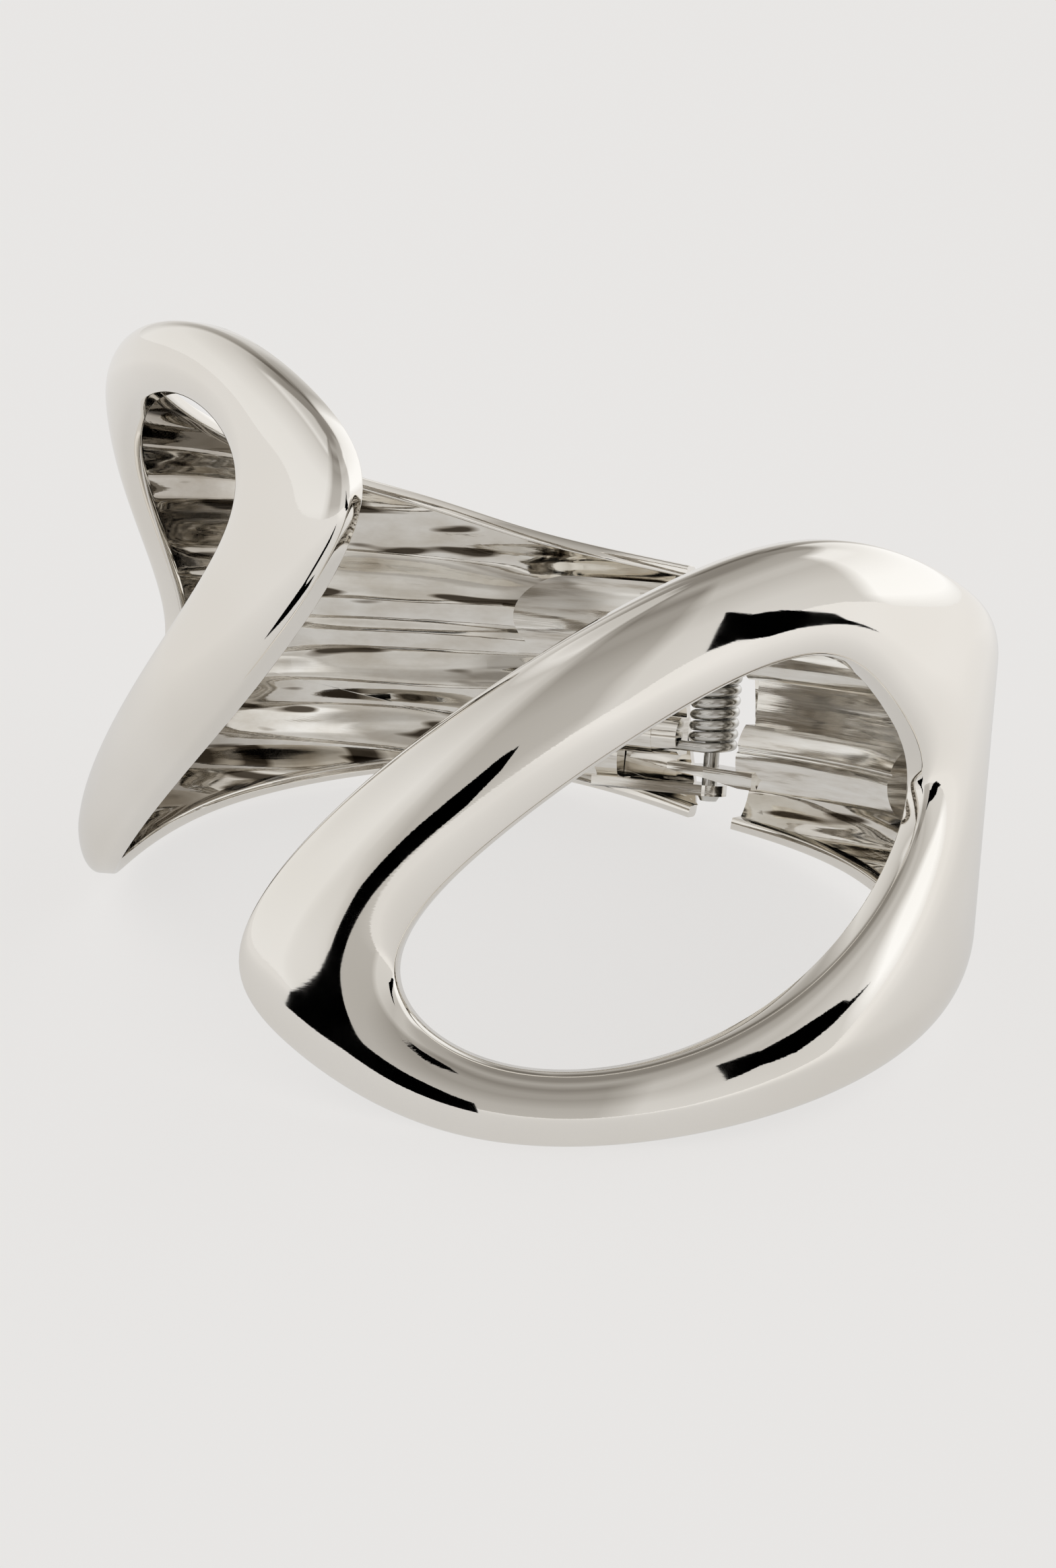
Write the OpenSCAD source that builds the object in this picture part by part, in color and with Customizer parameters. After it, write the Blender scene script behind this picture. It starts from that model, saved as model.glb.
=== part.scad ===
// Hinged cuff bracelet: two identical cast arms, each ending in an open
// teardrop loop, joined at the back by a sprung hinge.
// Z is the bracelet's axis and the hinge pin's axis. The hinge is at +Y, the
// opening at -Y. The right arm is on +X; the left arm is the same casting
// turned half a turn about Y. All sizes are in millimetres.

/* [Arms] */
// Distance from the bracelet's centre to the inner rim at the hinge
rim_back = 24.5; // [23:0.5:26]
// Thickness of the cast wall
wall = 1; // [0.8:0.1:1.2]
// Height of the straight edge around the outline and the loop's hole
edge_h = 1.2; // [1:0.1:1.5]
// Height of the dome over the hinge band
band_dome = 3.3; // [3.2:0.1:4]
// Height of the dome over the loop
loop_dome = 3; // [2.8:0.1:4]
// Width of the rounding along the outer outline
outer_round = 3.7; // [3:0.1:4.5]
// Width of the rounding along the loop's hole
hole_round = 4.8; // [3.5:0.1:5.5]

/* [Hinge] */
// Diameter of the hinge pin
pin_d = 1.3; // [1.2:0.05:1.5]
// Distance of the pin's axis outside the inner rim
pin_out = 1.3; // [1.1:0.1:1.4]
// Radial running clearance of the pin in the bracket's ears
pin_clear = 0.05; // [0.03:0.01:0.1]
// Thickness of each hinge ear
ear_t = 0.9; // [0.7:0.05:1]
// Diameter of the pin's peened heads
head_d = 2; // [1.8:0.1:2.2]

/* [Spring] */
// Diameter of the spring wire
wire_d = 0.86; // [0.7:0.02:0.9]
// Outside diameter of the coil
coil_d = 4.2; // [3.8:0.1:4.3]
// Number of turns in the coil
turns = 9; // [6:1:9]

/* [Hidden] */
$fn = 64;

silver = [0.86, 0.85, 0.83];
steel = [0.74, 0.73, 0.71];

// Plan curve: the inner rim seen along Z. Its turning rate, in degrees per
// millimetre, is given against the distance from the hinge; it is a true arc
// over the hinge band and straightens towards the tip.
band_turn = 1.84;
turn_rate = [[0, band_turn], [40, band_turn], [60, 2.13], [80, 1.52], [100, 0.2]];
plan_step = 1;
plan_end = 106;
band_r = 180 / (PI * band_turn);
band_c = rim_back - band_r;

// Outline of one arm, unrolled: distance from the hinge along the rim, height.
// It runs from the band's top corner over the loop to the tip and back.
outline = [
    [1.2, 10.3], [17, 7], [30, 8.7], [45.5, 11.5], [58.5, 15.3], [68.5, 14.8], [82, 6.3],
    [94.5, -4.7], [102.3, -15.8], [97, -21.6], [85.3, -27.3], [70.3, -26.1], [53.3, -21.7],
    [38.3, -17.3], [24.8, -15.1], [16, -12.4], [2.9, -10.8]
];
// Outline of the loop's hole, from its hinge end, in the same direction
hole = [
    [46.7, -3], [54.7, 3.5], [62, 9], [73.4, 3], [87.4, -9.5], [91.2, -17.2], [82, -23.1],
    [64.4, -19.3]
];
// Where a point along the outline (0 to 1) meets the hole's outline (0 to 1)
pairing = [[0, 0.03], [0.16, 0.10], [0.9, 0.9], [1, 0.97]];
end_notch = 1;         // depth of the hollow in the band's end edge
rim_points = 96;       // points along the outline
end_points = 12;       // points along the band's end edge
dome_rows = 16;        // rows across the outer skin
back_rows = 9;         // rows across the hollow back

pin_y = rim_back + pin_out;
pin_r = pin_d / 2;
bracket_ear_z = 5.8;   // inner face of the bracket's ears
leaf_ear_z = 7.4;      // inner face of the leaf's ears
ear_r = 1.5;           // rounding of the ears about the pin
ear_tail = 3.7;        // how far the bracket's ears reach past the pin
ear_in = -1.3;         // inner edge of the ears where they meet the rails
ear_out = 1.1;         // their outer edge there, both from the inner rim
seat_h = band_dome - wall;
plate_t = 0.7;         // thickness of the hinge's back plates
plate_bite = 0.06;     // how far a plate is soldered into its arm
crown_h = -1.2;        // top of the rails, inside the inner rim
crown = 1.3;           // depth of the rails' rounding
narrow_rail = [1.9, 5.2];
plate_top = 3.4;       // the plates stop here, where the arm's hollow narrows
bracket_rail = [-7.3, -1.9];
bracket_start = 3.6;
bracket_end = 23;
groove_z = -3.9;
leaf_rail = [-9.2, -2.1];
leaf_start = 4.7;      // clear of the tips of the bracket's ears
leaf_end = 18.2;
leaf_tip = 16.1;       // reach of the leaf's rounded end from the pin
leaf_near = 2.4;       // the leaf's narrow rail starts beside the coil
leaf_neck = [3.4, 7.7];
leaf_neck_start = 7.6; // the lower ear runs back this far before it joins

wire_r = wire_d / 2;
coil_r = coil_d / 2 - wire_r;
pitch = wire_d + 0.08;
coil_h = turns * pitch;
leg_len = 6.2;         // reach of each leg from the pin
wire_sides = 8;
steps_per_turn = 18;

// ---- Curves ----

function blend(a, b, c, d, t) =
    (pow(1 - t, 3) * a + (3 * t * t * t - 6 * t * t + 4) * b
     + (-3 * t * t * t + 3 * t * t + 3 * t + 1) * c + t * t * t * d) / 6;

function on_closed(p, u) =
    let (m = len(p), v = (u - floor(u)) * m, i = floor(v))
    blend(p[(i + m - 1) % m], p[i % m], p[(i + 1) % m], p[(i + 2) % m], v - i);

function on_open(p, u) =
    let (last = len(p) - 1, q = [p[0], p[0], each p, p[last], p[last]], n = len(q) - 3,
         v = u * n, i = min(floor(v), n - 1))
    blend(q[i], q[i + 1], q[i + 2], q[i + 3], v - i);

function unit(v) = v / norm(v);
function right_of(v) = [v[1], -v[0]];
function clamp(x) = max(0, min(1, x));
function mix(a, b, t) = a * (1 - t) + b * t;

function from_edge(p, a, b) =
    let (ab = b - a, t = clamp((p - a) * ab / (ab * ab))) norm(p - a - t * ab);
function from_curve(p, c) = min([for (i = [0 : len(c) - 2]) from_edge(p, c[i], c[i + 1])]);

// ---- Plan curve ----

// One step along the plan: [x, y, heading]
function plan_next(p, s) =
    let (a = p[2] + plan_step * lookup(s + plan_step / 2, turn_rate), m = (a + p[2]) / 2)
    [p[0] + plan_step * cos(m), p[1] - plan_step * sin(m), a];

plan = [for (i = 0, p = [0, rim_back, 0]; i <= plan_end / plan_step;
             p = plan_next(p, i * plan_step), i = i + 1) p];

// A point at distance s along the rim, height z, and h outside the rim
function place(s, z, h) =
    let (i = floor(s / plan_step), q = mix(plan[i], plan[i + 1], s / plan_step - i))
    [q[0] + sin(q[2]) * h, q[1] + cos(q[2]) * h, z];

// ---- Arm ----

edge_curve = [for (i = [0 : rim_points - 1]) on_open(outline, i / (rim_points - 1))];
hole_curve = [for (i = [0 : rim_points]) on_closed(hole, i / rim_points)];
corner_a = edge_curve[0];
corner_b = edge_curve[rim_points - 1];
end_mid = (corner_a[1] + corner_b[1]) / 2;
end_half = (corner_a[1] - corner_b[1]) / 2;

function round_off(q) = sqrt(1 - pow(1 - clamp(q), 2));
function dome(p) =
    let (q = clamp((p[0] - 15) / 40), top = mix(band_dome, loop_dome, q * q * (3 - 2 * q)))
    edge_h + (top - edge_h) * round_off(from_curve(p, edge_curve) / outer_round)
        * round_off(from_curve(p, hole_curve) / hole_round);

// Stations around the arm: outer point, hole point, inset outer, inset hole, is_end
function rim_station(i) =
    let (u = i / (rim_points - 1), f = lookup(u, pairing), d = 0.002,
         o = on_open(outline, u), h = on_closed(hole, f),
         no = unit(right_of(on_open(outline, min(1, u + d)) - on_open(outline, max(0, u - d)))),
         nh = -unit(right_of(on_closed(hole, f + d) - on_closed(hole, f - d))))
    [o, h, o + wall * no, h + wall * nh, false];

function end_station(i) =
    let (e = i / (end_points + 1), c = sin((e - 0.5) * 180) * 0.985, d = 0.002,
         f = mix(pairing[3][1], 1 + pairing[0][1], e), h = on_closed(hole, f),
         nh = -unit(right_of(on_closed(hole, f + d) - on_closed(hole, f - d))),
         s = mix(corner_b[0], corner_a[0], (c + 1) / 2) + end_notch * (1 - c * c))
    [[s, end_mid + c * end_half], h, [s, end_mid + c * (end_half - wall)], h + wall * nh, true];

stations = [for (i = [0 : rim_points - 1]) rim_station(i), for (i = [1 : end_points]) end_station(i)];

function ease(j, n) = (1 - cos(180 * j / (n - 1))) / 2;
function lift(p, h) = [p[0], p[1], h];
function outer_row(w, j) = let (p = mix(w[0], w[1], ease(j, dome_rows))) lift(p, dome(p));
function back_row(w, j) =
    let (p = mix(w[2], w[3], ease(j, back_rows))) lift(p, max(0.15, dome(p) - wall));
function foot(w, t) = w[4] ? mix(outer_row(w, 0), back_row(w, 0), t) : lift(t < 0.5 ? w[0] : w[2], 0);

// One closed ring of the section: outer skin, hole wall, hollow back, outer wall
function section(w) = [
    for (j = [0 : dome_rows - 1]) outer_row(w, j),
    lift(w[1], 0),
    lift(w[3], 0),
    for (j = [back_rows - 1 : -1 : 0]) back_row(w, j),
    foot(w, 2 / 3),
    foot(w, 1 / 3)
];

module arm() {
    rings = [for (w = stations) section(w)];
    n = len(rings);
    m = len(rings[0]);
    points = [for (r = rings) for (q = r) place(q[0], q[1], q[2])];
    faces = [
        for (i = [0 : n - 1]) for (j = [0 : m - 1])
        let (a = i * m + j, b = i * m + (j + 1) % m,
             c = ((i + 1) % n) * m + (j + 1) % m, d = ((i + 1) % n) * m + j)
        each norm(points[a] - points[c]) < norm(points[b] - points[d])
            ? [[a, b, c], [a, c, d]]
            : [[a, b, d], [b, c, d]]
    ];
    polyhedron(points, faces, convexity = 10);
}

// ---- Hinge ----

// Sweeps a profile (x = distance outside the rim, y = height) along the band
module along_band(s1, s2) {
    translate([0, band_c, 0])
        rotate([0, 0, 90 - band_turn * s2])
            rotate_extrude(angle = band_turn * (s2 - s1), $fn = 180)
                translate([band_r, 0])
                    children();
}

// Plate on the arm's hollow back, with a narrow rail and a wide one
module rails(wide, start, end) {
    along_band(start, end) {
        translate([seat_h - plate_t, wide[0]])
            square([plate_t + plate_bite, plate_top - wide[0]]);
        rail_profile(wide);
        rail_profile(narrow_rail);
    }
}

// A short rail that runs into the others, a little inside their surfaces
module rail_stub(z, s1, s2) {
    step = 0.07;
    along_band(s1, s2)
        translate([step, 0])
            rail_profile([z[0] + step, z[1] - step], 3 * step);
}

// A rail between two heights, with a rounded crown towards the wrist
module rail_profile(z, back = 0) {
    w = z[1] - z[0];
    r = (pow(w / 2 + 0.05, 2) + crown * crown) / (2 * crown);
    depth = seat_h - plate_t / 2 - crown_h - back;
    intersection() {
        translate([crown_h, z[0]])
            square([depth, w]);
        union() {
            translate([crown_h + r, (z[0] + z[1]) / 2])
                circle(r);
            translate([crown_h + crown, z[0]])
                square([depth, w]);
        }
    }
}

// Flat ear: round about the pin, running back to the rails
module ear(start) {
    end = start + 1.6;
    fall = end * end * 0.016;
    translate([0, pin_y])
        circle(ear_r);
    polygon([
        [0, pin_y - ear_r],
        [end, rim_back - fall + ear_in],
        [end, rim_back - fall + ear_out],
        [0.7, pin_y + ear_r - 0.2]
    ]);
}

// The bracket's ears also reach past the pin, with a rounded end
module ear_tip() {
    intersection() {
        translate([-ear_tail, pin_y - ear_r])
            square([ear_tail, ear_r + 0.4]);
        translate([0, pin_y])
            circle(ear_tail);
    }
}

// The bracket's lower ear thins towards its tip
module ear_taper() {
    z = -bracket_ear_z;
    translate([0, 40, 0])
        rotate([90, 0, 0])
            linear_extrude(30)
                polygon([
                    [-ear_tail - 1, z],
                    [bracket_start + 2, z],
                    [bracket_start + 2, bracket_rail[0]],
                    [bracket_start + 1, bracket_rail[0]],
                    [-ear_tail - 1, z - 0.4]
                ]);
}

module pin_hole(r) {
    translate([0, pin_y, -20])
        cylinder(r = r, h = 40);
}

// Slot in the narrow rail for one of the spring's legs
module leg_slot() {
    side = wire_d + 0.3;
    translate([0, pin_y - coil_r - side / 2, coil_h / 2 - side / 2])
        cube([leg_len + 0.4, side, side]);
}

module hinge_bracket() {
    color(silver)
        difference() {
            union() {
                rails(bracket_rail, bracket_start, bracket_end);
                translate([0, 0, bracket_ear_z])
                    linear_extrude(ear_t)
                        ear(bracket_start);
                intersection() {
                    translate([0, 0, bracket_rail[0] + 0.1])
                        linear_extrude(-bracket_ear_z - bracket_rail[0] - 0.1) {
                            ear(bracket_start);
                            ear_tip();
                        }
                    ear_taper();
                }
                // neck that carries the upper ear beyond the narrow rail
                rail_stub([narrow_rail[1] - 2, bracket_ear_z + ear_t + 0.1],
                    bracket_start + 0.1, bracket_start + 3);
            }
            along_band(bracket_start - 1, bracket_end + 1)
                translate([crown_h, groove_z])
                    circle(0.35);
            pin_hole(pin_r + pin_clear);
            leg_slot();
        }
}

// Drawn on +X and turned over like the left arm; the wide rail's end is round
module hinge_leaf() {
    r = (leaf_rail[1] - leaf_rail[0]) / 2;
    color(silver)
        rotate([0, 180, 0])
            difference() {
                union() {
                    intersection() {
                        rails(leaf_rail, leaf_start, leaf_end);
                        rotate([90, 0, 0])
                            linear_extrude(60, center = true) {
                                translate([leaf_tip - r, leaf_rail[0] + r])
                                    circle(r);
                                translate([0, leaf_rail[0]])
                                    square([leaf_tip - r, 20]);
                            }
                    }
                    translate([0, 0, -leaf_ear_z - ear_t])
                        linear_extrude(ear_t)
                            ear(leaf_start);
                    translate([0, 0, leaf_ear_z])
                        linear_extrude(ear_t)
                            ear(leaf_neck_start);
                    rail_stub(narrow_rail, leaf_near, leaf_start + 1);
                    rail_stub(leaf_neck, leaf_neck_start, leaf_neck_start + 3);
                }
                pin_hole(pin_r);
                leg_slot();
            }
}

module hinge_pin() {
    reach = leaf_ear_z + ear_t;
    color(steel)
        translate([0, pin_y, 0]) {
            cylinder(r = pin_r, h = 2 * reach, center = true);
            for (side = [0, 1])
                mirror([0, 0, side])
                    translate([0, 0, reach])
                        cylinder(r1 = head_d / 2, r2 = head_d / 2 - 0.3, h = 0.5);
        }
}

// ---- Spring ----

// Centre line of the spring: leg, coil, leg
function spring_path() =
    let (n = turns * steps_per_turn)
    [
        [-leg_len, -coil_r, -coil_h / 2],
        for (i = [0 : n]) let (a = i * 360 / steps_per_turn - 90)
            [coil_r * cos(a), coil_r * sin(a), coil_h * (i / n - 0.5)],
        [leg_len, -coil_r, coil_h / 2]
    ];

module torsion_spring() {
    path = spring_path();
    n = len(path);
    tangents = [for (i = [0 : n - 1]) unit(path[min(n - 1, i + 1)] - path[max(0, i - 1)])];
    points = [
        for (i = [0 : n - 1])
        let (t = tangents[i], u = unit(cross([0, 0, 1], t)), v = cross(t, u))
        for (k = [0 : wire_sides - 1])
        let (a = k * 360 / wire_sides)
        path[i] + wire_r * (cos(a) * u + sin(a) * v)
    ];
    m = wire_sides;
    faces = [
        [for (k = [0 : m - 1]) k],
        for (i = [0 : n - 2]) for (k = [0 : m - 1])
        let (a = i * m + k, b = i * m + (k + 1) % m)
        each [[a, a + m, b + m], [a, b + m, b]],
        [for (k = [m - 1 : -1 : 0]) (n - 1) * m + k]
    ];
    color(steel)
        translate([0, pin_y, 0])
            polyhedron(points, faces, convexity = 10);
}

module right_arm() {
    color(silver)
        arm();
}

module left_arm() {
    color(silver)
        rotate([0, 180, 0])
            arm();
}

right_arm();
left_arm();
hinge_bracket();
hinge_leaf();
hinge_pin();
torsion_spring();
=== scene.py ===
"""Looks of a hinged cuff bracelet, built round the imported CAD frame."""
import math

import bpy
import numpy as np
from mathutils import Matrix, Vector


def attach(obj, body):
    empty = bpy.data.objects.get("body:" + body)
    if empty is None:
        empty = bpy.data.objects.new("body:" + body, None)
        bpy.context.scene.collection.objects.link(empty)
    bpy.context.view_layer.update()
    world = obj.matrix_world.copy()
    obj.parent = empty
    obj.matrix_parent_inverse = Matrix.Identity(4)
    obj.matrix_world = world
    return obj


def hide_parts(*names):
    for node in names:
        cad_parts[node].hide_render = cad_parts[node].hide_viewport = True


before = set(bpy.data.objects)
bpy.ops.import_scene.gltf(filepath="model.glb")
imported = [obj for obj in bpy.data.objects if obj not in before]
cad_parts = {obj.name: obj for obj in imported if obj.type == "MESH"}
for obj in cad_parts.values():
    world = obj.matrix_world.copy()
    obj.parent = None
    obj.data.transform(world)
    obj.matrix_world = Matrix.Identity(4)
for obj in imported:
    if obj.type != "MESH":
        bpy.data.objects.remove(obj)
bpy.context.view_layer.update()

MM = 0.001

# ---------------------------------------------------------------- camera ----

CAMERA_AZ, CAMERA_EL, CAMERA_ROLL = 28.23, 5.83, 4.21     # degrees
CAMERA_DISTANCE = 245.6 * MM
CAMERA_OFFSET = (3.53 * MM, -5.92 * MM)                   # across and down the image
SENSOR_WIDTH, LENS = 36, 108.5
NEAR, FAR = 0.01, 20


def camera_axes():
    az, el, roll = (math.radians(a) for a in (CAMERA_AZ, CAMERA_EL, CAMERA_ROLL))
    back = Vector((math.sin(az) * math.cos(el), -math.cos(az) * math.cos(el), math.sin(el)))
    right = Vector((math.cos(az), math.sin(az), 0))
    up = back.cross(right)
    return (right * math.cos(roll) + up * math.sin(roll),
            up * math.cos(roll) - right * math.sin(roll), back)


def make_camera():
    right, up, back = camera_axes()
    data = bpy.data.cameras.new("camera")
    data.sensor_fit = "HORIZONTAL"
    data.sensor_width = SENSOR_WIDTH
    data.lens = LENS
    data.clip_start = NEAR
    data.clip_end = FAR
    cam = bpy.data.objects.new("camera", data)
    bpy.context.scene.collection.objects.link(cam)
    place = back * CAMERA_DISTANCE - right * CAMERA_OFFSET[0] + up * CAMERA_OFFSET[1]
    matrix = Matrix((right, up, back)).transposed().to_4x4()
    matrix.translation = place
    cam.matrix_world = matrix
    bpy.context.scene.camera = cam


make_camera()

# ------------------------------------------------------------- materials ----


class Nodes:
    """Shorthand for building a node tree; i0, i1 and so on name a node's inputs by number."""

    def __init__(self, tree):
        self.tree = tree
        tree.nodes.clear()

    def add(self, kind, **inputs):
        node = self.tree.nodes.new(kind)
        for key, value in inputs.items():
            self.set(node, key, value)
        return node

    def set(self, node, key, value):
        by_number = key[0] == "i" and key[1:].isdigit()
        socket = node.inputs[int(key[1:]) if by_number else key.replace("_", " ")]
        if isinstance(value, bpy.types.NodeSocket):
            self.tree.links.new(value, socket)
        else:
            socket.default_value = value

    def math(self, op, a, b=0.0):
        node = self.add("ShaderNodeMath", i0=a, i1=b)
        node.operation = op
        return node.outputs[0]

    def vmath(self, op, a, b=(0, 0, 0)):
        node = self.add("ShaderNodeVectorMath", i0=a, i1=b)
        node.operation = op
        return node.outputs[1] if op in ("DOT_PRODUCT", "LENGTH") else node.outputs[0]

    def noise(self, vector, scale, detail=3.0, rough=0.5):
        node = self.add("ShaderNodeTexNoise", Vector=vector, Scale=scale, Detail=detail, Roughness=rough)
        return node.outputs[0]

    def ramp(self, value, stops):
        node = self.add("ShaderNodeValToRGB", Fac=value)
        elements = node.color_ramp.elements
        while len(elements) < len(stops):
            elements.new(0.5)
        for element, (position, color) in zip(elements, stops):
            element.position = position
            element.color = (*color, 1)
        return node.outputs[0]

    def remap(self, value, a0, a1, b0, b1):
        node = self.add("ShaderNodeMapRange", Value=value)
        for i, v in enumerate((a0, a1, b0, b1)):
            node.inputs[i + 1].default_value = v
        return node.outputs[0]

    def mapping(self, vector, scale):
        node = self.add("ShaderNodeMapping", Vector=vector, Scale=scale)
        return node.outputs[0]

    def bump(self, height, distance, strength=1.0, normal=None):
        node = self.add("ShaderNodeBump", Height=height, Distance=distance, Strength=strength)
        if normal is not None:
            self.set(node, "Normal", normal)
        return node.outputs[0]


def new_material(name):
    mat = bpy.data.materials.new(name)
    mat.use_nodes = True
    return mat, Nodes(mat.node_tree)


def finish_metal(n, color, roughness, normal):
    shader = n.add(
        "ShaderNodeBsdfPrincipled", Metallic=1.0, Base_Color=color, Roughness=roughness, Normal=normal)
    n.add("ShaderNodeOutputMaterial", Surface=shader.outputs[0])


def polished_plate():
    """Bright nickel plate: near-mirror, with faint waves, haze and hairline scratches."""
    mat, n = new_material("polished_plate")
    pos = n.add("ShaderNodeTexCoord").outputs["Object"]
    cloud = n.noise(pos, 60, 2)
    color = n.ramp(cloud, [(0.35, (0.915, 0.885, 0.83)), (0.65, (0.955, 0.93, 0.885))])
    haze = n.noise(pos, 260, 4, 0.6)
    rough = n.remap(haze, 0.42, 0.75, 0.018, 0.075)
    swell = n.noise(pos, 120, 2, 0.4)
    scratches = n.noise(n.mapping(pos, (900, 900, 5200)), 1.0, 3, 0.6)
    normal = n.bump(swell, 0.00018, 0.25)
    normal = n.bump(scratches, 0.000003, 0.3, normal)
    finish_metal(n, color, rough, normal)
    return mat


def hollow_back():
    """Inside of the arms: as cast, plated over long ripples that run round the band."""
    mat, n = new_material("hollow_back")
    uv = n.add("ShaderNodeTexCoord").outputs["UV"]
    ripple = n.noise(n.mapping(uv, (3.2, 25, 1)), 1.0, 0.0)
    dent = n.noise(n.mapping(uv, (7, 55, 1)), 1.0, 0.0)
    streak = n.noise(n.mapping(uv, (14, 420, 1)), 1.0, 4, 0.6)
    blotch = n.noise(n.mapping(uv, (16, 40, 1)), 1.0, 4, 0.6)
    color = n.ramp(blotch, [(0.3, (0.74, 0.695, 0.62)), (0.62, (0.93, 0.91, 0.865))])
    # painted shade, browner where darker: the colour falls to half out in the loop; painted reflections of
    # dark things: short dark dashes along the band
    along = n.add("ShaderNodeSeparateXYZ", Vector=uv).outputs[0]
    # painted shade: the colour falls to half from 0.34 to 0.46 along the band, out in the loop
    painted_loop_shade = n.remap(along, 0.34, 0.46, 1.0, 0.5)
    # painted reflections of dark things: short dark dashes along the band
    stain_and_painted_reflection = n.remap(n.noise(n.mapping(uv, (11, 72, 1)), 1.0, 1.0), 0.33, 0.39, 0.10, 1.0)
    # the painted shade and the painted reflections together, made browner where darker below
    painted_shade_and_reflection = n.math("MULTIPLY", painted_loop_shade, stain_and_painted_reflection)
    green, blue = n.math("POWER", painted_shade_and_reflection, 1.07), n.math("POWER", painted_shade_and_reflection, 1.16)
    shade = n.add("ShaderNodeCombineXYZ", X=painted_shade_and_reflection, Y=green, Z=blue).outputs[0]
    color = n.vmath("MULTIPLY", color, shade)
    rough = n.remap(streak, 0.35, 0.75, 0.03, 0.12)
    normal = n.bump(ripple, 0.0052, 0.8)
    normal = n.bump(dent, 0.0016, 0.5, normal)
    normal = n.bump(streak, 0.00001, 0.4, normal)
    finish_metal(n, color, rough, normal)
    return mat


def hinge_plate():
    """Pressed plate: brushed along the band, stained between the brush marks."""
    mat, n = new_material("hinge_plate")
    pos = n.add("ShaderNodeTexCoord").outputs["Object"]
    streak = n.noise(n.mapping(pos, (60, 60, 2600)), 1.0, 4, 0.65)
    ripple = n.noise(n.mapping(pos, (70, 70, 520)), 1.0, 1)
    stain_and_painted_reflection = n.noise(n.mapping(pos, (90, 90, 900)), 1.0, 4, 0.65)
    color = n.ramp(stain_and_painted_reflection, [
        (0.34, (0.60, 0.555, 0.485)), (0.46, (0.87, 0.84, 0.785)), (0.62, (0.96, 0.945, 0.905))])
    rough = n.remap(streak, 0.35, 0.7, 0.05, 0.17)
    normal = n.bump(ripple, 0.0006, 0.45)
    normal = n.bump(streak, 0.00002, 0.5, normal)
    finish_metal(n, color, rough, normal)
    return mat


def drawn_steel():
    """Bright wire and rod, faintly grained and stained."""
    mat, n = new_material("drawn_steel")
    pos = n.add("ShaderNodeTexCoord").outputs["Object"]
    grain = n.noise(pos, 1500, 3)
    stain_and_painted_reflection = n.noise(pos, 300, 3)
    color = n.ramp(stain_and_painted_reflection, [(0.35, (0.55, 0.535, 0.50)), (0.62, (0.78, 0.77, 0.74))])
    rough = n.remap(grain, 0.3, 0.7, 0.14, 0.28)
    normal = n.bump(grain, 0.00001, 0.5)
    finish_metal(n, color, rough, normal)
    return mat


PLATE, BACK, HINGE, STEEL = polished_plate(), hollow_back(), hinge_plate(), drawn_steel()

# ------------------------------------------------------------------ arm ----
# The same curves as in the CAD part, in millimetres, walked more finely.

RIM_BACK = 24.5
WALL = 1.0
EDGE_H = 1.2
BAND_DOME, LOOP_DOME = 3.3, 3.0
OUTER_ROUND, HOLE_ROUND = 3.7, 4.8
TURN_S = [0, 40, 60, 80, 100]
TURN_RATE = [1.84, 1.84, 2.13, 1.52, 0.2]
OUTLINE = [(1.2, 10.3), (17, 7), (30, 8.7), (45.5, 11.5), (58.5, 15.3), (68.5, 14.8), (82, 6.3),
           (94.5, -4.7), (102.3, -15.8), (97, -21.6), (85.3, -27.3), (70.3, -26.1), (53.3, -21.7),
           (38.3, -17.3), (24.8, -15.1), (16, -12.4), (2.9, -10.8)]
HOLE = [(46.7, -3), (54.7, 3.5), (62, 9), (73.4, 3), (87.4, -9.5), (91.2, -17.2),
        (82, -23.1), (64.4, -19.3)]
END_NOTCH = 1.0
BEVEL = 0.15
ROUND_THE_CORNER = 14      # length of rim over which the rows turn into the end edge
N_RIM, N_END = 360, 28     # stations along the rim and the end edge
N_TOP, N_BACK, N_FOOT = 44, 24, 6     # points across the top, the hollow back and each wall's foot


def spline(p, u, closed):
    """Uniform cubic B-spline through control points p at parameters u in 0..1."""
    p = np.array(p, float)
    if closed:
        m = len(p)
        v = (np.asarray(u) % 1) * m
        i = np.floor(v).astype(int)
        q = [p[(i + k - 1) % m] for k in range(4)]
    else:
        p = np.vstack([p[:1], p[:1], p, p[-1:], p[-1:]])
        n = len(p) - 3
        v = np.clip(u, 0, 1) * n
        i = np.minimum(np.floor(v).astype(int), n - 1)
        q = [p[i + k] for k in range(4)]
    t = (v - i)[:, None]
    return ((1 - t) ** 3 * q[0] + (3 * t ** 3 - 6 * t ** 2 + 4) * q[1]
            + (-3 * t ** 3 + 3 * t ** 2 + 3 * t + 1) * q[2] + t ** 3 * q[3]) / 6


def even(c, n):
    """n points evenly spaced along polyline c."""
    d = np.r_[0, np.cumsum(np.linalg.norm(np.diff(c, axis=0), axis=1))]
    t = np.linspace(0, d[-1], n)
    return np.c_[np.interp(t, d, c[:, 0]), np.interp(t, d, c[:, 1])]


def normals(c):
    """Unit normals of open polyline c, to the right of its direction."""
    t = np.gradient(c, axis=0)
    t /= np.linalg.norm(t, axis=1)[:, None]
    return np.c_[t[:, 1], -t[:, 0]]


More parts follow.
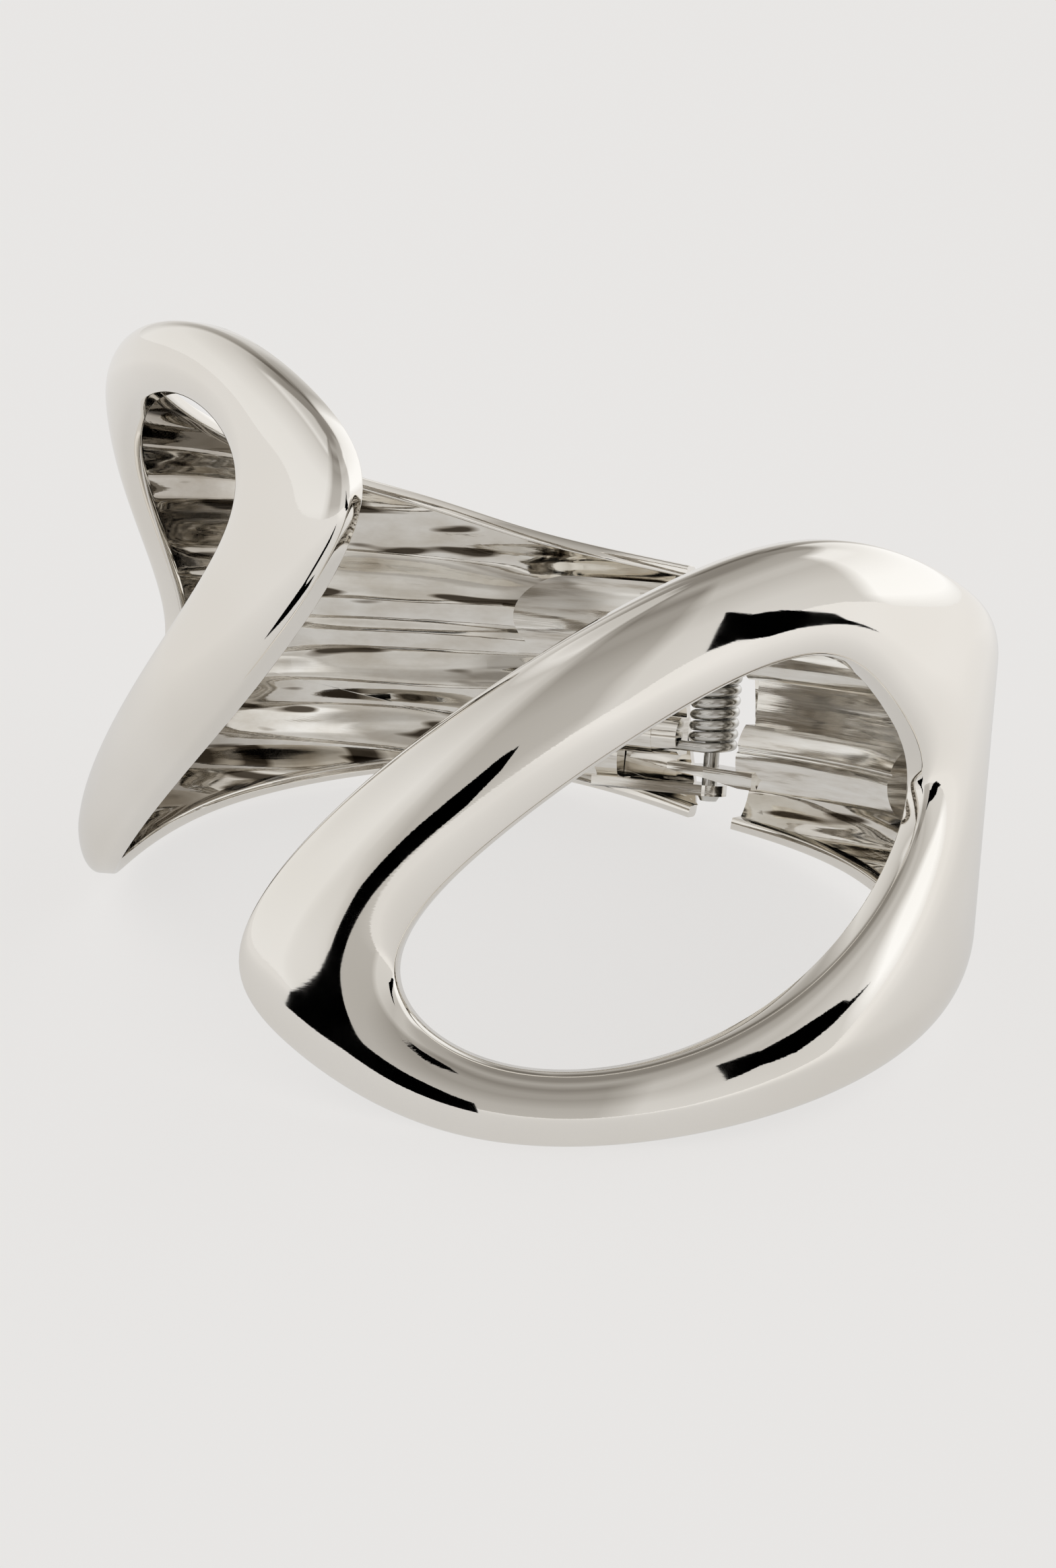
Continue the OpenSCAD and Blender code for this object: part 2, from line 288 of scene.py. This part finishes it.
class Plan:
    """The inner rim seen along Z, walked in small steps from the hinge."""

    def __init__(self):
        step = 0.25
        self.s = np.arange(-3, 112, step)     # a little past both ends of the arm
        rate = np.interp(self.s, TURN_S, TURN_RATE)
        heading = np.r_[0, np.cumsum((rate[1:] + rate[:-1]) / 2 * step)]
        heading -= np.interp(0, self.s, heading)
        self.a = np.radians(heading)
        m = (self.a[1:] + self.a[:-1]) / 2
        self.x = np.r_[0, np.cumsum(np.cos(m) * step)]
        self.y = np.r_[0, np.cumsum(-np.sin(m) * step)]
        self.x -= np.interp(0, self.s, self.x)
        self.y += RIM_BACK - np.interp(0, self.s, self.y)

    def place(self, s, z, h):
        """Points s along the rim from the hinge, at height z, and h outside the rim."""
        x, y, a = (np.interp(s, self.s, v) for v in (self.x, self.y, self.a))
        return np.stack([x + np.sin(a) * h, y + np.cos(a) * h, z], -1)


def hermite(a, b, m0, m1, t):
    """Points of the cubics from a to b with end slopes m0 and m1, at parameters t."""
    t = np.asarray(t)[None, :, None]
    a, b, m0, m1 = (v[:, None] for v in (a, b, m0, m1))
    return ((2 * t ** 3 - 3 * t ** 2 + 1) * a + (t ** 3 - 2 * t ** 2 + t) * m0
            + (3 * t ** 2 - 2 * t ** 3) * b + (t ** 3 - t ** 2) * m1)


def smooth_ring(v, w, gain):
    """Moving average of a ring of values that grows by gain once round."""
    n = len(v)
    pad = np.r_[v[-w:] - gain, v, v[:w] + gain]
    return np.convolve(pad, np.ones(2 * w + 1) / (2 * w + 1), "valid")


def stations():
    """Points round the arm's outline, the hole point each one pairs with, and the directions between."""
    fine = np.linspace(0, 1, 4000)
    rim = even(spline(OUTLINE, fine, False), N_RIM)
    e = np.linspace(0, 1, N_END + 2)[1:-1]
    c = np.sin((e - 0.5) * np.pi)
    mid, half = (rim[0, 1] + rim[-1, 1]) / 2, (rim[0, 1] - rim[-1, 1]) / 2
    end = np.c_[np.interp(c, [-1, 1], [rim[-1, 0], rim[0, 0]]) + END_NOTCH * (1 - c ** 2), mid + c * half]
    outer = np.vstack([rim, end])
    # each station pairs with a hole point between its nearest one and an even share
    f = np.linspace(0, 1, 2000, endpoint=False)
    h = spline(HOLE, f, True)
    near = f[((outer[:, None] - h[None]) ** 2).sum(-1).argmin(1)]
    near = np.unwrap(near, period=1)
    near -= round(near[0])
    share = np.r_[0, np.cumsum(np.linalg.norm(np.diff(np.vstack([outer, outer[:1]]), axis=0), axis=1))]
    share = share[:-1] / share[-1]
    f = 0.7 * near + 0.3 * (share + 0.02)
    f = smooth_ring(smooth_ring(f, 8, 1), 8, 1)
    hole = spline(HOLE, f, True)
    d = 1e-3
    t = spline(HOLE, f + d, True) - spline(HOLE, f - d, True)
    t /= np.linalg.norm(t, axis=1)[:, None]
    out_of_hole = np.c_[-t[:, 1], t[:, 0]]
    inward = normals(rim)
    # rows start straight in from the rim and turn over the corners into the end edge
    ang = np.arctan2(inward[:, 1], inward[:, 0])
    dist = np.r_[0, np.cumsum(np.linalg.norm(np.diff(rim, axis=0), axis=1))]
    ang += np.radians(45) * np.clip(1 - dist / ROUND_THE_CORNER, 0, 1) ** 2
    ang -= np.radians(45) * np.clip(1 - (dist[-1] - dist) / ROUND_THE_CORNER, 0, 1) ** 2
    ang = np.r_[ang, np.radians(-45) * c]
    start = np.c_[np.cos(ang), np.sin(ang)]
    return outer, hole, inward, out_of_hole, start, mid, half


def distance(p, c, closed):
    """Distance from points p to curve c: exact close to it, further away the mean of a steep power."""
    power, batch = 8, 2000
    if not closed:
        # run both ends on in a straight line
        first = (c[:1] - c[1:2]) / np.linalg.norm(c[0] - c[1])
        last = (c[-1:] - c[-2:-1]) / np.linalg.norm(c[-1] - c[-2])
        ends = [c[:1] + first * k for k in (12, 8, 4, 2, 1)]
        tail = [c[-1:] + last * k for k in (1, 2, 4, 8, 12)]
        c = even(np.vstack(ends + [c] + tail), 1600)
    a, b = c[:-1], c[1:]
    ab = b - a
    ln = np.linalg.norm(ab, axis=1)
    # what a straight line at distance 1 adds up to
    x = np.linspace(-60, 60, 24001)
    scale = ((x ** 2 + 1) ** (-power / 2)).sum() * (x[1] - x[0])
    out = np.empty(len(p))
    for k in range(0, len(p), batch):
        ap = p[k:k + batch, None] - a[None]
        t = np.clip((ap * ab).sum(-1) / ln ** 2, 0, 1)
        d2 = ((ap - t[..., None] * ab) ** 2).sum(-1)
        exact = np.sqrt(d2.min(1))
        dm = ((p[k:k + batch, None] - (a + b)[None] / 2) ** 2).sum(-1) + 1e-4
        soft = ((dm ** (-power / 2) * ln).sum(1) / scale) ** (-1 / (power - 1))
        w = np.clip((exact - 0.4) / 0.8, 0, 1)
        out[k:k + batch] = exact * (1 - w) + soft * w
    return out


def round_off(q):
    """Quarter circle from 0 at q = 0 to 1 at q = 1 and beyond."""
    return np.sqrt(1 - (1 - np.clip(q, 0, 1)) ** 2)


def dome(p, rim, hole):
    """Height of the outer face over the inner rim at unrolled points p."""
    shape = p.shape[:-1]
    p = p.reshape(-1, 2)
    q = np.clip((p[:, 0] - 15) / 40, 0, 1)
    top = BAND_DOME + (LOOP_DOME - BAND_DOME) * q * q * (3 - 2 * q)
    h = ((top - EDGE_H) * round_off(distance(p, rim, False) / OUTER_ROUND)
         * round_off(distance(p, hole, True) / HOLE_ROUND))
    return (EDGE_H + h).reshape(shape)


def arm_surface():
    """Unrolled points and heights of the arm's closed section rings."""
    outer, hole, inward, ooh, start, mid, half = stations()
    fine = np.linspace(0, 1, 4000)
    rim_c = even(spline(OUTLINE, fine, False), 1500)
    hole_c = even(spline(HOLE, fine, True), 900)

    def rows(a, b, count):
        """Rows of points from each of a to its partner in b, closest together at both ends."""
        ln = np.linalg.norm(b - a, axis=1)[:, None]
        t = 0.5 - 0.5 * np.cos(np.pi * np.linspace(0, 1, count))
        return hermite(a, b, start * np.minimum(ln, 8), -ooh * np.minimum(ln, 12), t)

    top = rows(outer, hole, N_TOP)
    top_h = dome(top, rim_c, hole_c)
    top_h[:N_RIM, 0] = EDGE_H
    top_h[:, -1] = EDGE_H
    inset = outer.copy()
    inset[:N_RIM] += inward * WALL
    inset[N_RIM:, 1] = mid + (outer[N_RIM:, 1] - mid) * (half - WALL) / half
    back = rows(inset, hole + ooh * WALL, N_BACK)
    back_h = np.maximum(dome(back, rim_c, hole_c) - WALL, 0.3)
    # rounded foot of each wall: (distance through the wall, height)
    r = BEVEL
    foot = [(0, r), (0.3 * r, 0.3 * r), (r, 0), (WALL - r, 0), (WALL - 0.3 * r, 0.3 * r), (WALL, r)]
    pts, hts = [top], [top_h]
    for w, h in foot:
        pts.append((hole + ooh * w)[:, None])
        hts.append(np.full((len(outer), 1), h))
    pts.append(back[:, ::-1])
    hts.append(back_h[:, ::-1])
    for w, h in foot[::-1]:
        q = w / WALL
        p = outer.copy()
        p[:N_RIM] += inward * w
        p[N_RIM:] = outer[N_RIM:] * (1 - q) + inset[N_RIM:] * q
        # the end edge has no foot: it closes straight from the top to the back
        end_h = np.full(len(outer), float(h))
        end_h[N_RIM:] = top_h[N_RIM:, 0] * (1 - q) + back_h[N_RIM:, 0] * q
        pts.append(p[:, None])
        hts.append(end_h[:, None])
    return np.concatenate(pts, 1), np.concatenate(hts, 1)


def grid_mesh(name, points, uv, turn_over):
    """A closed ring of closed rings as a mesh, with the hollow back in its own material."""
    n, m = points.shape[:2]
    p = points.reshape(-1, 3) * MM
    if turn_over:
        p = p * np.array([-1, 1, -1])
    i, j = np.meshgrid(np.arange(n), np.arange(m), indexing="ij")
    i2, j2 = (i + 1) % n, (j + 1) % m
    quads = np.stack([i * m + j, i * m + j2, i2 * m + j2, i2 * m + j], -1).reshape(-1, 4)
    mesh = bpy.data.meshes.new(name)
    mesh.from_pydata(p.tolist(), [], quads.tolist())
    layer = mesh.uv_layers.new(name="UVMap")
    layer.data.foreach_set("uv", uv.reshape(-1, 2)[quads.reshape(-1)].reshape(-1))
    # the hollow back starts where the hole's foot ends
    first = N_TOP + N_FOOT
    inside = (j.reshape(-1) >= first - 1) & (j.reshape(-1) < first + N_BACK)
    mesh.materials.append(PLATE)
    mesh.materials.append(BACK)
    mesh.polygons.foreach_set("material_index", inside.astype(np.int32))
    mesh.polygons.foreach_set("use_smooth", np.ones(len(quads), bool))
    mesh.set_sharp_from_angle(angle=math.radians(50))
    mesh.validate()
    obj = bpy.data.objects.new(name, mesh)
    bpy.context.scene.collection.objects.link(obj)
    return obj


def make_arms():
    flat, height = arm_surface()
    points = Plan().place(flat[..., 0], flat[..., 1], height)
    uv = flat / 100     # along and across the band, in tenths of a metre
    right = grid_mesh("right_arm_skin", points, uv, False)
    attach(right, "right_half")
    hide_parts("right_arm")
    left = grid_mesh("left_arm_skin", points, uv, True)
    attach(left, "left_half")
    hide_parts("left_arm")


make_arms()

# ---------------------------------------------------------------- spring ----

PIN_Y = 25.8
WIRE_R, COIL_R = 0.43, 1.67
TURNS, PITCH, LEG = 9, 0.94, 6.2
COIL_STEPS, LEG_POINTS = 40, 10     # points in a turn and in a leg


def spring_path():
    """Centre line of the torsion spring about the pin, in millimetres."""
    steps = TURNS * COIL_STEPS
    half = TURNS * PITCH / 2
    a = np.radians(np.arange(steps + 1) * 360 / COIL_STEPS - 90)
    coil = np.c_[COIL_R * np.cos(a), COIL_R * np.sin(a), np.linspace(-half, half, steps + 1)]
    x = np.linspace(-LEG, -0.4, LEG_POINTS)
    side, end = np.full(LEG_POINTS, -COIL_R), np.full(LEG_POINTS, half)
    return np.vstack([np.c_[x, side, -end], coil, np.c_[-x[::-1], side, end]])


def tube(name, path, radius, sides, mat):
    """A round tube along a path, with domed ends."""
    t = np.gradient(path, axis=0)
    t /= np.linalg.norm(t, axis=1)[:, None]
    u = np.cross([0, 0, 1.0], t)
    u /= np.linalg.norm(u, axis=1)[:, None]
    v = np.cross(t, u)
    cap = np.array([(0.5, 0.87), (0.85, 0.53), (0.98, 0.2)])     # (how far out, how wide)
    centres, frames = [], []
    for along, across in cap[::-1]:
        centres.append(path[0] - t[0] * radius * along * 0.6)
        frames.append((u[0], v[0], across))
    for k in range(len(path)):
        centres.append(path[k])
        frames.append((u[k], v[k], 1.0))
    for along, across in cap:
        centres.append(path[-1] + t[-1] * radius * along * 0.6)
        frames.append((u[-1], v[-1], across))
    a = np.arange(sides)[:, None] * 2 * np.pi / sides
    pts = np.array([c + radius * width * (np.cos(a) * across + np.sin(a) * up)
                    for c, (across, up, width) in zip(centres, frames)])
    n, m = pts.shape[:2]
    faces = [tuple(range(m))[::-1]]
    for i in range(n - 1):
        for j in range(m):
            j2 = (j + 1) % m
            faces.append((i * m + j, i * m + j2, (i + 1) * m + j2, (i + 1) * m + j))
    faces.append(tuple((n - 1) * m + j for j in range(m)))
    mesh = bpy.data.meshes.new(name)
    mesh.from_pydata((pts.reshape(-1, 3) * MM).tolist(), [], faces)
    mesh.polygons.foreach_set("use_smooth", np.ones(len(faces), bool))
    mesh.materials.append(mat)
    obj = bpy.data.objects.new(name, mesh)
    bpy.context.scene.collection.objects.link(obj)
    return obj


def make_spring():
    path = spring_path() + np.array([0, PIN_Y, 0])
    spring = tube("closing_spring", path, WIRE_R, 16, STEEL)
    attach(spring, "left_half")
    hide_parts("torsion_spring")


make_spring()

# ---------------------------------------------------------- hinge pieces ----


def finish_node(name, mat):
    """A CAD piece that shows as it is, in its own material."""
    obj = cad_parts[name]
    obj.data.materials.clear()
    obj.data.materials.append(mat)
    for poly in obj.data.polygons:
        poly.material_index = 0


for node_name in ("hinge_bracket", "hinge_leaf"):
    finish_node(node_name, HINGE)
finish_node("hinge_pin", STEEL)

# ----------------------------------------------------------------- stage ----

UP = Vector((0.162, -0.224, 0.961)).normalized()          # the table's normal under the resting cuff
REST = Vector((13.5, -33.0, -26.4)) * MM                  # a point where the cuff touches it
TABLE_REACH, TABLE_FRONT = 3.0, 0.3                       # metres to the sides and back, and to the front


def table_axes():
    """Level directions on the table: to the left, and towards the camera."""
    back = camera_axes()[2]
    front = (back - UP * back.dot(UP)).normalized()
    return front.cross(UP), front


def make_floor():
    left, front = table_axes()
    mat, n = new_material("table")
    geometry = n.add("ShaderNodeNewGeometry").outputs
    # plain to the eye; in the metal's reflections its glow carries painted shade close to the object and
    # painted light to its right
    away = n.vmath("LENGTH", geometry["Position"])
    across = n.vmath("DOT_PRODUCT", geometry["Position"], tuple(left))
    # painted shade near the object and painted light to its right, in the glow seen only in reflections
    painted_shade_and_light = n.remap(away, 0.03, 0.17, 0.47, 0.60)
    painted_shade_and_light = n.math("ADD", painted_shade_and_light, n.remap(across, -0.09, -0.04, 0.09, 0.0))
    eye = n.add("ShaderNodeLightPath").outputs["Is Camera Ray"]
    painted_shade_and_light = n.math("MULTIPLY", n.math("SUBTRACT", 1.0, eye), painted_shade_and_light)
    glow = n.math("ADD", n.math("MULTIPLY", eye, 0.645), painted_shade_and_light)
    shader = n.add(
        "ShaderNodeBsdfPrincipled", Roughness=0.9, Specular_IOR_Level=0.0, Base_Color=(0.30, 0.297, 0.293, 1),
        Emission_Color=(1.0, 0.988, 0.978, 1), Emission_Strength=glow)
    # seen from below it isn't there
    clear = n.add("ShaderNodeBsdfTransparent")
    mix = n.add("ShaderNodeMixShader", i0=geometry["Backfacing"], i1=shader.outputs[0], i2=clear.outputs[0])
    n.add("ShaderNodeOutputMaterial", Surface=mix.outputs[0])
    a, b = TABLE_REACH, TABLE_FRONT
    corners = [left * x + front * y for x, y in ((-a, -a), (a, -a), (a, b), (-a, b))]
    base = REST - UP * 0.2 * MM
    mesh = bpy.data.meshes.new("table")
    mesh.from_pydata([base + c for c in corners], [], [(0, 1, 2, 3)])
    mesh.materials.append(mat)
    floor = bpy.data.objects.new("table", mesh)
    bpy.context.scene.collection.objects.link(floor)


def make_world():
    """Soft studio light round the table, by compass angle (0 in front, + to the left) and height."""
    left, front = table_axes()
    world = bpy.data.worlds.new("studio")
    bpy.context.scene.world = world
    world.use_nodes = True
    n = Nodes(world.node_tree)
    d = n.vmath("NORMALIZE", n.add("ShaderNodeTexCoord").outputs["Generated"])
    up = n.vmath("DOT_PRODUCT", d, tuple(UP))
    turn = n.math("ARCTAN2", n.vmath("DOT_PRODUCT", d, tuple(left)), n.vmath("DOT_PRODUCT", d, tuple(front)))
    az = n.math("MULTIPLY", turn, 180 / math.pi)
    el = n.math("MULTIPLY", n.math("ARCSINE", up), 180 / math.pi)

    def step(value, at, soft):
        """0 below at, 1 above it, over soft degrees."""
        return n.remap(value, at - soft / 2, at + soft / 2, 0.0, 1.0)

    def window(a0, a1, e0, e1, soft_a, soft_e):
        """1 inside a patch of the surroundings, 0 outside it."""
        wide = n.math("SUBTRACT", step(az, a0, soft_a), step(az, a1, soft_a))
        tall = n.math("SUBTRACT", step(el, e0, soft_e), step(el, e1, soft_e))
        return n.math("MULTIPLY", wide, tall)

    # by height, straight down to straight up: walls brightest at eye level, and a dimmer ceiling
    levels = ((0.0, 0.50), (0.30, 0.62), (0.46, 0.70), (0.60, 0.66),
              (0.73, 0.50), (0.82, 0.31), (0.90, 0.26), (1.0, 0.24))
    total = n.ramp(n.remap(el, -90, 90, 0, 1), [(at, (level,) * 3) for at, level in levels])
    # lamps and dim places: (from, to, low, high, softness across, softness up) and change of level
    patches = [
        (-164, -83, 2, 54, 9, 7, 0.36), (-160, -85, -30, 2, 10, 7, 0.16),
        (-22, 21, -5, 62, 9, 12, -0.20), (30, 148, -8, 56, 12, 12, 0.14),
        (148, 181, 12, 62, 9, 12, -0.20), (-181, -163, 12, 62, 9, 12, -0.20),
        (34, 106, 50, 77, 8, 6, 0.30), (-104, -66, -66, -40, 14, 12, -0.14),
        (-181, -84, -90, -58, 16, 14, -0.22), (-120, 20, 42, 76, 16, 10, 0.12)]
    for *patch, change in patches:
        total = n.math("ADD", total, n.math("MULTIPLY", window(*patch), change))
    # a thin black gap between two lamps
    gap = window(-60, -56, -27, -6, 1, 1.5)
    total = n.math("MULTIPLY", total, n.math("SUBTRACT", 1.0, gap))
    # dim places are warmer than bright ones
    green, blue = n.math("POWER", total, 1.05), n.math("POWER", total, 1.12)
    tint = n.add("ShaderNodeCombineColor", i0=total, i1=green, i2=blue).outputs[0]
    seen = n.add("ShaderNodeBackground", Color=(0.80, 0.79, 0.78, 1), Strength=1.0)
    lit = n.add("ShaderNodeBackground", Color=tint, Strength=1.0)
    eye = n.add("ShaderNodeLightPath").outputs["Is Camera Ray"]
    mix = n.add("ShaderNodeMixShader", i0=eye, i1=lit.outputs[0], i2=seen.outputs[0])
    n.add("ShaderNodeOutputWorld", Surface=mix.outputs[0])


def make_card(name, turn, distance, outline):
    """A black card standing by the table, seen only in the metal.

    It faces the cuff from turn degrees to the left of the front, distance millimetres away; its
    outline is (to the left, above the table) in millimetres.
    """
    left, front = table_axes()
    turn = math.radians(turn)
    out = front * math.cos(turn) + left * math.sin(turn)
    side = left * math.cos(turn) - front * math.sin(turn)
    foot = out * distance * MM + UP * REST.dot(UP)
    mesh = bpy.data.meshes.new(name)
    corners = [foot + (side * a + UP * h) * MM for a, h in outline]
    mesh.from_pydata(corners, [], [tuple(range(len(corners)))])
    mat, n = new_material(name)
    black = n.add("ShaderNodeEmission", Strength=0.0)
    n.add("ShaderNodeOutputMaterial", Surface=black.outputs[0])
    mesh.materials.append(mat)
    card = bpy.data.objects.new(name, mesh)
    bpy.context.scene.collection.objects.link(card)
    card.visible_camera = card.visible_diffuse = False
    card.visible_shadow = card.visible_transmission = False


make_floor()
make_world()
make_card("front_card", 0, 60, [
    (5, 0), (5, 6), (10, 8.5), (16.5, 9.5), (18.5, 12.5), (16, 15), (10.5, 18.5), (6, 21), (3.5, 25),
    (3, 28.5), (5, 28), (10, 24.5), (16, 20.7), (20.5, 17), (22.8, 13.5), (26.5, 10.8), (31, 7), (36, 0)])
make_card("side_card", -58, 85, [
    (-9, 18.5), (6, 17.5), (18, 19), (24, 22.5), (30, 26.5), (40, 28.5), (44, 48), (46, 62), (42, 58),
    (36, 49), (31, 42), (21, 36), (12, 31), (4, 26), (0, 21)])
bpy.context.scene.view_settings.view_transform = "Standard"
